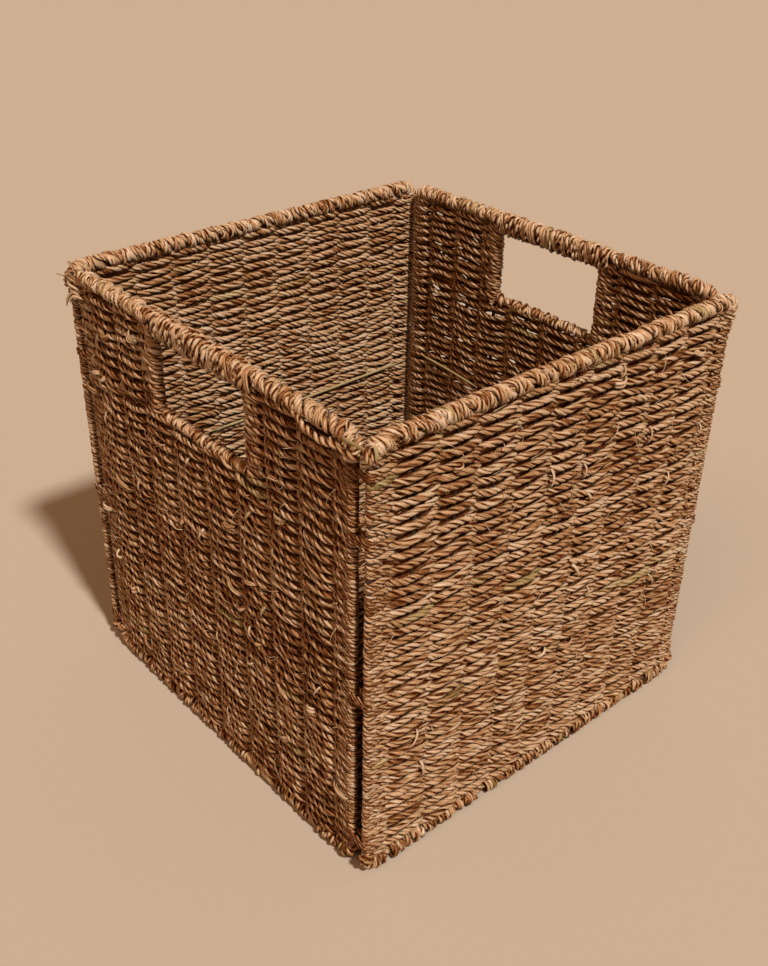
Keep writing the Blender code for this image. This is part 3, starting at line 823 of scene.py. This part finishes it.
def lashings():
    """The strands that tie the walls together up each corner, and the base flap to the front wall."""
    seed = 900
    for side_x, across in ((-1, "left"), (1, "right")):
        for side_y, along in ((-1, "front"), (1, "back")):
            for number, z in enumerate(CORNER_LASHING_Z, 1):
                seed += 1
                bag = Bag(seed)
                start = (side_x * HANDLE_X, side_y * PLAIN_Y, z)
                end = (side_x * HANDLE_X, side_y * HANDLE_HALF, z)
                lashing_turns(bag, start, end, (0, 0, 1), 0.0027, 0.0027, 0.0062, 0.00062, 0.0)
                name = f"corner_lashing_{along}_{across}_{number}"
                bag.piece(f"{name}_turns", WRAP, "walls", [name])
    for number, x in enumerate(HINGE_LASHING_X, 1):
        bag = Bag(950 + number)
        start, end = (x, -PLAIN_Y, ROD_LOW), (x, HINGE_Y, HINGE_Z)
        lashing_turns(bag, start, end, (1, 0, 0), 0.0048, 0.0033, 0.0072, 0.00085, 0.25)
        name = f"hinge_lashing_{number}"
        bag.piece(f"{name}_turns", WRAP, "walls", [name])


# Loose ends and hairs

def spots(rng, half, low, high, count, clear):
    """Random spots on a sheet, less the ones that clear rules out."""
    for _ in range(count):
        s, z = rng.uniform(-half, half), rng.uniform(low, high)
        if not (clear and clear(s, z)):
            yield s, z


def loose_hairs(bag, place, half, face, count, clear):
    """Thin fibres that stand off a woven sheet; face is the side of the panel they are on."""
    rng = bag.rng
    for s, z in spots(rng, half, 0.02, 0.312, count, clear):
        angle = rng.normal(0, 0.9) + (math.pi if rng.random() < 0.5 else 0)
        length = rng.uniform(0.004, 0.017)
        u = np.linspace(0, 1, 9)
        bend = rng.normal(0, 0.35)
        ds = length * (u * math.cos(angle) - bend * u * u * math.sin(angle))
        dz = length * (u * math.sin(angle) + bend * u * u * math.cos(angle))
        rise = rng.uniform(0.3, 1.0) * 0.0035
        t = 0.0042 + rise * np.sin(math.pi * np.minimum(u * rng.uniform(0.5, 1.0), 1))
        path = place(np.stack([s + ds, face * t, np.clip(z + dz, 0.003, 0.318)], axis=1))
        size = rng.uniform(0.00012, 0.00030) * (1 - 0.6 * u)
        out = facing(place, (0, face, 0), path)
        shade, green = rng.uniform(0.55, 1.0), rng.choice([0.0, 0.0, 0.5])
        bag.strand(path, out, size, size * 1.5, shade, green, sides=4)


def tucked_blades(bag, place, half, face, count, clear):
    """Short flat ends of spliced grass that cross a few rows before they tuck in again."""
    rng = bag.rng
    for s, z in spots(rng, half, 0.03, 0.30, count, clear):
        length = rng.uniform(0.006, 0.013)
        lean = rng.normal(0, 0.35)
        u = np.linspace(0, 1, 10)
        t = 0.0030 + 0.0031 * np.sin(math.pi * u) ** 0.5
        path = place(np.stack([s + lean * length * u, face * t, z + length * (u - 0.5)], axis=1))
        wide = rng.uniform(0.0006, 0.0013)
        out = facing(place, (0, face, 0), path)
        bag.strand(path, out, 0.00035, wide, rng.uniform(0.6, 0.95), rng.choice([0.0, 0.0, 0.6]))


def tufts(bag, place, half, face, count, clear):
    """Places where a cord was spliced: a few short strands bowed over the rows."""
    rng = bag.rng
    for s, z in spots(rng, half, 0.03, 0.30, count, clear):
        heading = rng.normal(0, 0.45) + (math.pi if rng.random() < 0.5 else 0)
        reach, curl = rng.uniform(0.007, 0.015), rng.normal(0, 0.5)
        number = rng.integers(2, 5)
        shade = rng.uniform(0.35, 0.75)
        for strand in range(number):
            aside = (strand - (number - 1) / 2) * 0.0010 + rng.normal(0, 0.0003)
            long = reach * rng.uniform(0.7, 1.15)
            u = np.linspace(0, 1, 12)
            bow = curl + rng.normal(0, 0.25)
            ahead = long * (u - 0.5)
            sideways = aside + long * bow * (u - 0.5) ** 2
            ds = ahead * math.cos(heading) - sideways * math.sin(heading)
            dz = ahead * math.sin(heading) + sideways * math.cos(heading)
            t = 0.0034 + 0.0029 * np.sin(math.pi * u) ** 0.7 * rng.uniform(0.7, 1.15)
            path = place(np.stack([s + ds, face * t, z + dz], axis=1))
            out = facing(place, (0, face, 0), path)
            size = rng.uniform(0.00055, 0.00095) * (1 - 0.5 * u * (rng.random() < 0.5))
            own, green = shade + rng.normal(0, 0.12), rng.choice([0, 0, 0.3])
            bag.strand(path, out, size, size * 1.35, own, green)


def near_hole(s, z):
    """Whether a spot is in or beside a hand hole."""
    margin = 0.012
    return abs(s) < HOLE_STAKE + margin and z > SILL_Z - margin


def trim(name, place, half, face, seed, hairs, blades, joins, clear=None):
    """Everything loose on one side of a woven sheet."""
    bag = Bag(seed)
    share = 1.0
    loose_hairs(bag, place, half, face, int(hairs * share), clear)
    tucked_blades(bag, place, half, face, int(blades * share), clear)
    tufts(bag, place, half, face, int(joins * share), clear)
    bag.piece(name, WRAP, "walls")


# Single strands that make the corners and the inside of this basket its own

def single(bag, place, start, end, face, thick, wide, tone, green, bow=(0.0, 0.0, 0.0), count=14):
    """One strand lying on a panel, given in its s, t and z."""
    path = place(line_between(start, end, count, bow))
    out = facing(place, (0, face, 0), path)
    u = np.linspace(0, 1, count)
    ends = np.clip(np.minimum(u, 1 - u) / 0.12, 0.35, 1)
    bag.strand(path, out, thick * ends, wide * ends, tone, green, sides=8)


def twisted_end(bag, place, start, end, face, radius, twist, tone, bow, count=24):
    """A cord of two strands lying on a panel, given in its s, t and z."""
    path = place(line_between(start, end, count, bow))
    out = facing(place, (0, face, 0), path)
    bag.cord(path, out, radius, radius - 0.0001, twist, tone, plies=2)


def left_corner_ends():
    """On the left wall: a green leaf end and two slack cords at the near corner, and the frayed far one."""
    bag = Bag(401)
    rng = bag.rng
    single(bag, place_left, (-0.1405, 0.0056, 0.3135), (-0.1580, 0.0050, 0.3140), 1,
           0.0005, 0.0013, 0.75, 0.9)
    twisted_end(bag, place_left, (-0.098, 0.0040, 0.3115), (-0.1440, 0.0040, 0.3095), 1,
                0.00115, 0.0125, 0.62, (0, 0.0022, -0.0050), 40)
    twisted_end(bag, place_left, (-0.130, 0.0045, 0.3085), (-0.1525, 0.0040, 0.3060), 1,
                0.00110, 0.0125, 0.55, (0, 0.0010, -0.0012))
    far = HANDLE_HALF + 0.003
    for _ in range(11):
        z = rng.uniform(0.298, 0.3125)
        start = (far - rng.uniform(0.004, 0.010), 0.003, z)
        end = (far + rng.uniform(0.000, 0.007), rng.uniform(0.004, 0.0085), z + rng.normal(0, 0.005))
        curl = (rng.normal(0, 0.0015), rng.uniform(0.001, 0.003), rng.normal(0, 0.0025))
        single(bag, place_left, start, end, 1, 0.0008, 0.0011, rng.uniform(0.55, 0.9), 0.1, curl)
    single(bag, place_left, (far, 0.004, 0.311), (far + 0.010, 0.0115, 0.3135), 1, 0.0003, 0.0004, 0.4, 0.3)
    bag.piece("left_corner_ends", WRAP, "walls")


def front_corner_ends():
    """On the front wall's near corner: a green leaf end and two thin cords."""
    bag = Bag(402)
    single(bag, place_front, (-0.1557, -0.0050, 0.3175), (-0.1552, -0.0058, 0.3080), -1,
           0.0005, 0.0013, 0.75, 0.9, (0, -0.0010, 0))
    for number in range(2):
        shift, drop = 0.0024 * number, bag.rng.uniform(-0.001, 0.001)
        start, end = (-0.1600 + shift, -0.0020, 0.3150 + drop), (-0.1570 + shift, -0.0048, 0.3070 + drop)
        twisted_end(bag, place_front, start, end, -1, 0.00080, 0.010, bag.rng.uniform(0.35, 0.55),
                    (-0.0018, -0.0014, 0))
    bag.piece("front_corner_ends", WRAP, "walls")


def green_strands():
    """The two long green strands inside, on the back and right walls."""
    bag = Bag(403)
    single(bag, place_back, (-0.063, -0.0052, 0.1575), (0.150, -0.0052, 0.1590), -1,
           0.0009, 0.0012, 0.75, 0.85, (0, 0, -0.001), 50)
    bag.piece("back_green_strand", WRAP, "walls")
    bag = Bag(404)
    single(bag, place_right, (0.132, 0.0052, 0.172), (0.060, 0.0052, 0.167), 1,
           0.0009, 0.0011, 0.65, 0.75, (0, 0, 0.0008), 30)
    bag.piece("right_green_strand", WRAP, "walls")


# Floor, light and camera

FLOOR_HALF = 12.0
FLOOR_COLOUR = (0.34, 0.31, 0.265, 1)
GLOW_COLOUR = (1.0, 0.54, 0.29, 1)          # what the room throws back on the basket
SEEN_COLOUR = (0.62, 0.47, 0.33, 1)         # what the camera sees behind the floor
CAMERA_AT = (-0.4726, -0.5281, 0.5908)
CAMERA_TURN = (48.57, 31.36, 1.13)          # yaw, downward pitch and roll, in degrees
CAMERA_LENS = 42.10


def floor():
    """A plain pale floor."""
    mesh = bpy.data.meshes.new("floor")
    corners = [(x * FLOOR_HALF, y * FLOOR_HALF, 0) for x, y in ((-1, -1), (1, -1), (1, 1), (-1, 1))]
    mesh.from_pydata(corners, [], [(0, 1, 2, 3)])
    obj = bpy.data.objects.new("floor", mesh)
    bpy.context.scene.collection.objects.link(obj)
    material = bpy.data.materials.new("pale_floor")
    material.use_nodes = True
    shader = material.node_tree.nodes["Principled BSDF"]
    shader.inputs["Base Color"].default_value = FLOOR_COLOUR
    shader.inputs["Roughness"].default_value = 0.9
    mesh.materials.append(material)


def sun_light(name, towards, strength, angle, colour):
    """Soft parallel light, coming from the direction towards."""
    data = bpy.data.lights.new(name, "SUN")
    data.energy = strength
    data.angle = math.radians(angle)
    data.color = colour
    obj = bpy.data.objects.new(name, data)
    obj.rotation_euler = Vector(towards).to_track_quat("Z", "Y").to_euler()
    bpy.context.scene.collection.objects.link(obj)


def studio():
    """The floor, a soft key light, a weak warm fill and a warm world."""
    floor()
    sun_light("key", towards=(-0.15, -1.0, 1.38), strength=4.8, angle=5, colour=(1.0, 0.86, 0.73))
    sun_light("fill", towards=(-1.0, -0.25, 1.2), strength=0.80, angle=28, colour=(1.0, 0.50, 0.24))
    world = bpy.data.worlds.new("studio")
    world.use_nodes = True
    nodes, links = world.node_tree.nodes, world.node_tree.links
    glow = nodes["Background"]
    glow.inputs["Color"].default_value = GLOW_COLOUR
    glow.inputs["Strength"].default_value = 0.36
    seen = nodes.new("ShaderNodeBackground")
    seen.inputs["Color"].default_value = SEEN_COLOUR
    choose = nodes.new("ShaderNodeMixShader")
    links.new(nodes.new("ShaderNodeLightPath").outputs["Is Camera Ray"], choose.inputs["Fac"])
    links.new(glow.outputs["Background"], choose.inputs[1])
    links.new(seen.outputs["Background"], choose.inputs[2])
    links.new(choose.outputs["Shader"], nodes["World Output"].inputs["Surface"])
    bpy.context.scene.world = world
    bpy.context.scene.view_settings.view_transform = "Standard"


def camera():
    """The pinhole camera that was fitted to the basket's visible corners."""
    yaw, pitch, roll = (math.radians(degrees) for degrees in CAMERA_TURN)
    forward = Vector((math.cos(yaw) * math.cos(pitch), math.sin(yaw) * math.cos(pitch), -math.sin(pitch)))
    right = Vector((math.sin(yaw), -math.cos(yaw), 0))
    up = right.cross(forward)
    turned_right = math.cos(roll) * right + math.sin(roll) * up
    turned_up = -math.sin(roll) * right + math.cos(roll) * up
    data = bpy.data.cameras.new("camera")
    data.lens = CAMERA_LENS
    data.clip_start = 0.01
    obj = bpy.data.objects.new("camera", data)
    rotation = Matrix((turned_right, turned_up, -forward)).transposed()
    obj.matrix_world = Matrix.Translation(CAMERA_AT) @ rotation.to_4x4()
    bpy.context.scene.collection.objects.link(obj)
    bpy.context.scene.camera = obj


weave_panel("front", place_front, "walls", 11, WALL_STAKES)
# The back sheet's leaf is pale, painted light in the gaps between its rows, and its cords are a little
# lighter, painted light on its inner face.
weave_panel("back", place_back, "walls", 12, WALL_STAKES, bulk=1.05, wraps=(ROD_WRAP, 0.0040), top_gaps=5.0,
            crest=0.0020, gap_shade=0.85, pitch=BACK_PITCH, steep=0.7, shade=0.56)
weave_panel("left", place_left, "walls", 13, None, bulk=0.93, wraps=(0.0024, ROD_WRAP), crest=0.0034,
            pitch=HANDLE_PITCH, steep=1.0)
# The right sheet's cords are a little lighter, painted light on its inner face.
weave_panel("right", place_right, "walls", 14, None, bulk=0.92, wraps=(ROD_WRAP, 0.0042), gaps=13.0,
            pitch=HANDLE_PITCH, steep=1.0, shade=0.54)
weave_panel("base", place_base, "base", 15, BASE_STAKES, flat=True, bulk=0.80, wraps=(0.0024, 0.0024),
            gaps=0.0, crest=0.0022)
rim("front_rim", place_front, PLAIN_HALF, 101)
rim("back_rim", place_back, PLAIN_HALF, 102)
rim("left_rim_front", place_left, HANDLE_HALF, 103, end=-GRIP_HALF)
rim("left_rim_back", place_left, HANDLE_HALF, 104, start=GRIP_HALF)
rim("right_rim_front", place_right, HANDLE_HALF, 105, end=-GRIP_HALF)
rim("right_rim_back", place_right, HANDLE_HALF, 106, start=GRIP_HALF)
foot("front_foot", place_front, PLAIN_HALF, 111, waists=HINGE_LASHING_X)
foot("back_foot", place_back, PLAIN_HALF, 112)
foot("left_foot", place_left, HANDLE_HALF, 113)
foot("right_foot", place_right, HANDLE_HALF, 114)
grip("left_grip", place_left, 121)
grip("right_grip", place_right, 122)
sill("left_sill", place_left, 131)
sill("right_sill", place_right, 132)
base_binding()
lashings()
trim("front_loose_ends", place_front, 0.150, -1, seed=301, hairs=80, blades=12, joins=6)
trim("back_loose_ends", place_back, 0.150, 1, seed=302, hairs=90, blades=16, joins=10)
trim("left_loose_ends", place_left, 0.140, 1, seed=303, hairs=140, blades=16, joins=34, clear=near_hole)
trim("right_loose_ends", place_right, 0.140, -1, seed=304, hairs=110, blades=16, joins=24, clear=near_hole)
left_corner_ends()
front_corner_ends()
green_strands()
studio()
camera()
